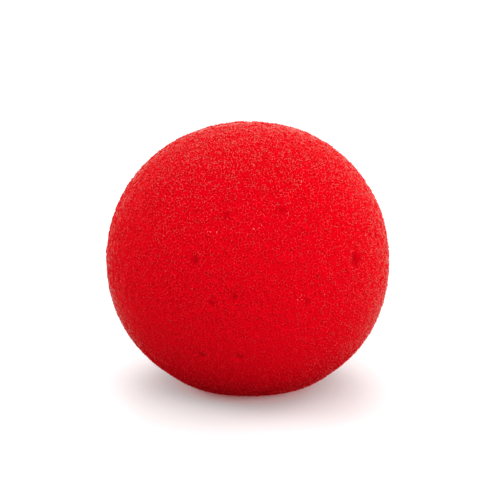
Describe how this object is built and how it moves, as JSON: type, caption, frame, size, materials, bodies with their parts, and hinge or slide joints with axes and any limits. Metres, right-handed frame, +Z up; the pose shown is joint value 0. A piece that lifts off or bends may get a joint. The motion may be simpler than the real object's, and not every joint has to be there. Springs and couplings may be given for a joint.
{
  "type": "clown nose",
  "caption": "Soft red foam ball clown nose, slightly squat with a settled foot, and a slit pocket in its back that slips over the wearer's nose.",
  "frame": {"origin": "middle of the flat foot that the ball rests on, at floor level", "axes": "+Z up, -Y out of the smooth front that faces the onlooker, +Y out of the pocket's mouth, +X across"},
  "size_m": [0.0498, 0.0493, 0.0466],
  "materials": {
    "red_foam": "matt open-cell foam in bright red, fine even grain with shallow pits"
  },
  "bodies": {
    "root": {"foam_ball": "red_foam"}
  },
  "joints": []
}
